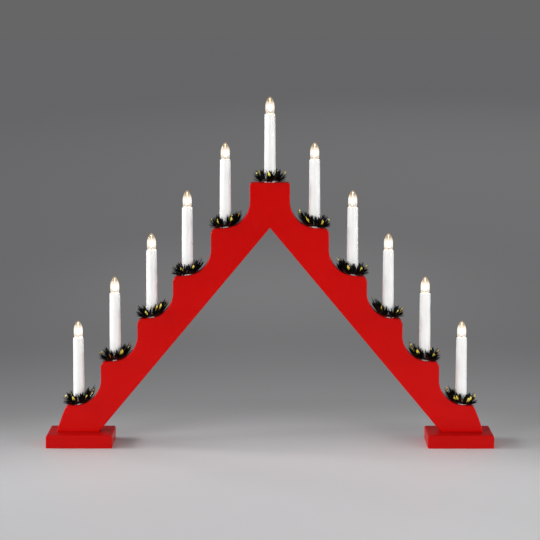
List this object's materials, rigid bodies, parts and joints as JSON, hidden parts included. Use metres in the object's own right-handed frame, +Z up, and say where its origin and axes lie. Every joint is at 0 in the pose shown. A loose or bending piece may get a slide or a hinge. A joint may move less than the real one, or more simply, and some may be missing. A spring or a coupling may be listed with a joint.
{
  "type": "electric candlestick",
  "caption": "Stepped wooden arch on two feet with electric candles, each with a screw-in lamp and a loose needle ring round its foot.",
  "frame": {"origin": "on the floor under the middle of the arch, halfway through its depth", "axes": "+Z up, +X to the right along the arch, the front faces -Y"},
  "size_m": [0.6514, 0.072, 0.5077],
  "materials": {
    "red_paint": "satin red paint on wood",
    "sleeve_plastic": "smooth white moulded plastic, slight gloss",
    "holder_plastic": "off-white moulded plastic",
    "lamp_glass": "clear blown glass, lit warm white",
    "cap_brass": "rolled brass screw cap",
    "contact_tin": "soldered centre contact",
    "needles": "dark green cut foil needles",
    "gold_foil": "bright gold foil strip",
    "wire_jacket": "soft pale cable jacket"
  },
  "bodies": {
    "root": {"frame_board": "red_paint", "left_foot": "red_paint", "right_foot": "red_paint", "lamp_wire": "wire_jacket", "sleeve_1": "sleeve_plastic", "sleeve_2": "sleeve_plastic", "sleeve_3": "sleeve_plastic", "sleeve_4": "sleeve_plastic", "sleeve_5": "sleeve_plastic", "sleeve_6": "sleeve_plastic", "sleeve_7": "sleeve_plastic", "sleeve_8": "sleeve_plastic", "sleeve_9": "sleeve_plastic", "sleeve_10": "sleeve_plastic", "sleeve_11": "sleeve_plastic", "holder_1": "holder_plastic", "holder_2": "holder_plastic", "holder_3": "holder_plastic", "holder_4": "holder_plastic", "holder_5": "holder_plastic", "holder_6": "holder_plastic", "holder_7": "holder_plastic", "holder_8": "holder_plastic", "holder_9": "holder_plastic", "holder_10": "holder_plastic", "holder_11": "holder_plastic"},
    "contact_1": {"bulb_contact_1": "contact_tin"},
    "lamp_1": {"bulb_1": "lamp_glass"},
    "ring_1": {"needle_ring_1": "needles"},
    "contact_2": {"bulb_contact_2": "contact_tin"},
    "lamp_2": {"bulb_2": "lamp_glass"},
    "ring_2": {"needle_ring_2": "needles"},
    "contact_3": {"bulb_contact_3": "contact_tin"},
    "lamp_3": {"bulb_3": "lamp_glass"},
    "ring_3": {"needle_ring_3": "needles"},
    "contact_4": {"bulb_contact_4": "contact_tin"},
    "lamp_4": {"bulb_4": "lamp_glass"},
    "ring_4": {"needle_ring_4": "needles"},
    "contact_5": {"bulb_contact_5": "contact_tin"},
    "lamp_5": {"bulb_5": "lamp_glass"},
    "ring_5": {"needle_ring_5": "needles"},
    "contact_6": {"bulb_contact_6": "contact_tin"},
    "lamp_6": {"bulb_6": "lamp_glass"},
    "ring_6": {"needle_ring_6": "needles"},
    "contact_7": {"bulb_contact_7": "contact_tin"},
    "lamp_7": {"bulb_7": "lamp_glass"},
    "ring_7": {"needle_ring_7": "needles"},
    "contact_8": {"bulb_contact_8": "contact_tin"},
    "lamp_8": {"bulb_8": "lamp_glass"},
    "ring_8": {"needle_ring_8": "needles"},
    "contact_9": {"bulb_contact_9": "contact_tin"},
    "lamp_9": {"bulb_9": "lamp_glass"},
    "ring_9": {"needle_ring_9": "needles"},
    "contact_10": {"bulb_contact_10": "contact_tin"},
    "lamp_10": {"bulb_10": "lamp_glass"},
    "ring_10": {"needle_ring_10": "needles"},
    "contact_11": {"bulb_contact_11": "contact_tin"},
    "lamp_11": {"bulb_11": "lamp_glass"},
    "ring_11": {"needle_ring_11": "needles"}
  },
  "joints": [
    {"name": "bulb_1_rise", "type": "slide", "parent": "root", "child": "contact_1", "axis": [0, 0, 1], "range_m": [0, 0.00725]},
    {"name": "bulb_1_turn", "type": "hinge", "parent": "contact_1", "child": "lamp_1", "pos_m": [-0.2797, 0, 0], "axis": [0, 0, 1], "range_deg": [0, 1440]},
    {"name": "ring_1_lift", "type": "slide", "parent": "root", "child": "ring_1", "axis": [0, 0, 1], "range_m": [0, 0.14]},
    {"name": "bulb_2_rise", "type": "slide", "parent": "root", "child": "contact_2", "axis": [0, 0, 1], "range_m": [0, 0.00725]},
    {"name": "bulb_2_turn", "type": "hinge", "parent": "contact_2", "child": "lamp_2", "pos_m": [-0.22576, 0, 0], "axis": [0, 0, 1], "range_deg": [0, 1440]},
    {"name": "ring_2_lift", "type": "slide", "parent": "root", "child": "ring_2", "axis": [0, 0, 1], "range_m": [0, 0.14]},
    {"name": "bulb_3_rise", "type": "slide", "parent": "root", "child": "contact_3", "axis": [0, 0, 1], "range_m": [0, 0.00725]},
    {"name": "bulb_3_turn", "type": "hinge", "parent": "contact_3", "child": "lamp_3", "pos_m": [-0.17182, 0, 0], "axis": [0, 0, 1], "range_deg": [0, 1440]},
    {"name": "ring_3_lift", "type": "slide", "parent": "root", "child": "ring_3", "axis": [0, 0, 1], "range_m": [0, 0.14]},
    {"name": "bulb_4_rise", "type": "slide", "parent": "root", "child": "contact_4", "axis": [0, 0, 1], "range_m": [0, 0.00725]},
    {"name": "bulb_4_turn", "type": "hinge", "parent": "contact_4", "child": "lamp_4", "pos_m": [-0.11968, 0, 0], "axis": [0, 0, 1], "range_deg": [0, 1440]},
    {"name": "ring_4_lift", "type": "slide", "parent": "root", "child": "ring_4", "axis": [0, 0, 1], "range_m": [0, 0.14]},
    {"name": "bulb_5_rise", "type": "slide", "parent": "root", "child": "contact_5", "axis": [0, 0, 1], "range_m": [0, 0.00725]},
    {"name": "bulb_5_turn", "type": "hinge", "parent": "contact_5", "child": "lamp_5", "pos_m": [-0.06444, 0, 0], "axis": [0, 0, 1], "range_deg": [0, 1440]},
    {"name": "ring_5_lift", "type": "slide", "parent": "root", "child": "ring_5", "axis": [0, 0, 1], "range_m": [0, 0.14]},
    {"name": "bulb_6_rise", "type": "slide", "parent": "root", "child": "contact_6", "axis": [0, 0, 1], "range_m": [0, 0.00725]},
    {"name": "bulb_6_turn", "type": "hinge", "parent": "contact_6", "child": "lamp_6", "pos_m": [0, 0, 0], "axis": [0, 0, 1], "range_deg": [0, 1440]},
    {"name": "ring_6_lift", "type": "slide", "parent": "root", "child": "ring_6", "axis": [0, 0, 1], "range_m": [0, 0.14]},
    {"name": "bulb_7_rise", "type": "slide", "parent": "root", "child": "contact_7", "axis": [0, 0, 1], "range_m": [0, 0.00725]},
    {"name": "bulb_7_turn", "type": "hinge", "parent": "contact_7", "child": "lamp_7", "pos_m": [0.06444, 0, 0], "axis": [0, 0, 1], "range_deg": [0, 1440]},
    {"name": "ring_7_lift", "type": "slide", "parent": "root", "child": "ring_7", "axis": [0, 0, 1], "range_m": [0, 0.14]},
    {"name": "bulb_8_rise", "type": "slide", "parent": "root", "child": "contact_8", "axis": [0, 0, 1], "range_m": [0, 0.00725]},
    {"name": "bulb_8_turn", "type": "hinge", "parent": "contact_8", "child": "lamp_8", "pos_m": [0.11968, 0, 0], "axis": [0, 0, 1], "range_deg": [0, 1440]},
    {"name": "ring_8_lift", "type": "slide", "parent": "root", "child": "ring_8", "axis": [0, 0, 1], "range_m": [0, 0.14]},
    {"name": "bulb_9_rise", "type": "slide", "parent": "root", "child": "contact_9", "axis": [0, 0, 1], "range_m": [0, 0.00725]},
    {"name": "bulb_9_turn", "type": "hinge", "parent": "contact_9", "child": "lamp_9", "pos_m": [0.17182, 0, 0], "axis": [0, 0, 1], "range_deg": [0, 1440]},
    {"name": "ring_9_lift", "type": "slide", "parent": "root", "child": "ring_9", "axis": [0, 0, 1], "range_m": [0, 0.14]},
    {"name": "bulb_10_rise", "type": "slide", "parent": "root", "child": "contact_10", "axis": [0, 0, 1], "range_m": [0, 0.00725]},
    {"name": "bulb_10_turn", "type": "hinge", "parent": "contact_10", "child": "lamp_10", "pos_m": [0.22576, 0, 0], "axis": [0, 0, 1], "range_deg": [0, 1440]},
    {"name": "ring_10_lift", "type": "slide", "parent": "root", "child": "ring_10", "axis": [0, 0, 1], "range_m": [0, 0.14]},
    {"name": "bulb_11_rise", "type": "slide", "parent": "root", "child": "contact_11", "axis": [0, 0, 1], "range_m": [0, 0.00725]},
    {"name": "bulb_11_turn", "type": "hinge", "parent": "contact_11", "child": "lamp_11", "pos_m": [0.2797, 0, 0], "axis": [0, 0, 1], "range_deg": [0, 1440]},
    {"name": "ring_11_lift", "type": "slide", "parent": "root", "child": "ring_11", "axis": [0, 0, 1], "range_m": [0, 0.14]}
  ],
  "couplings": [
    {"joint": "bulb_1_rise", "follows": "bulb_1_turn", "m_per_rad": 0.00028807},
    {"joint": "bulb_2_rise", "follows": "bulb_2_turn", "m_per_rad": 0.00028807},
    {"joint": "bulb_3_rise", "follows": "bulb_3_turn", "m_per_rad": 0.00028807},
    {"joint": "bulb_4_rise", "follows": "bulb_4_turn", "m_per_rad": 0.00028807},
    {"joint": "bulb_5_rise", "follows": "bulb_5_turn", "m_per_rad": 0.00028807},
    {"joint": "bulb_6_rise", "follows": "bulb_6_turn", "m_per_rad": 0.00028807},
    {"joint": "bulb_7_rise", "follows": "bulb_7_turn", "m_per_rad": 0.00028807},
    {"joint": "bulb_8_rise", "follows": "bulb_8_turn", "m_per_rad": 0.00028807},
    {"joint": "bulb_9_rise", "follows": "bulb_9_turn", "m_per_rad": 0.00028807},
    {"joint": "bulb_10_rise", "follows": "bulb_10_turn", "m_per_rad": 0.00028807},
    {"joint": "bulb_11_rise", "follows": "bulb_11_turn", "m_per_rad": 0.00028807}
  ]
}
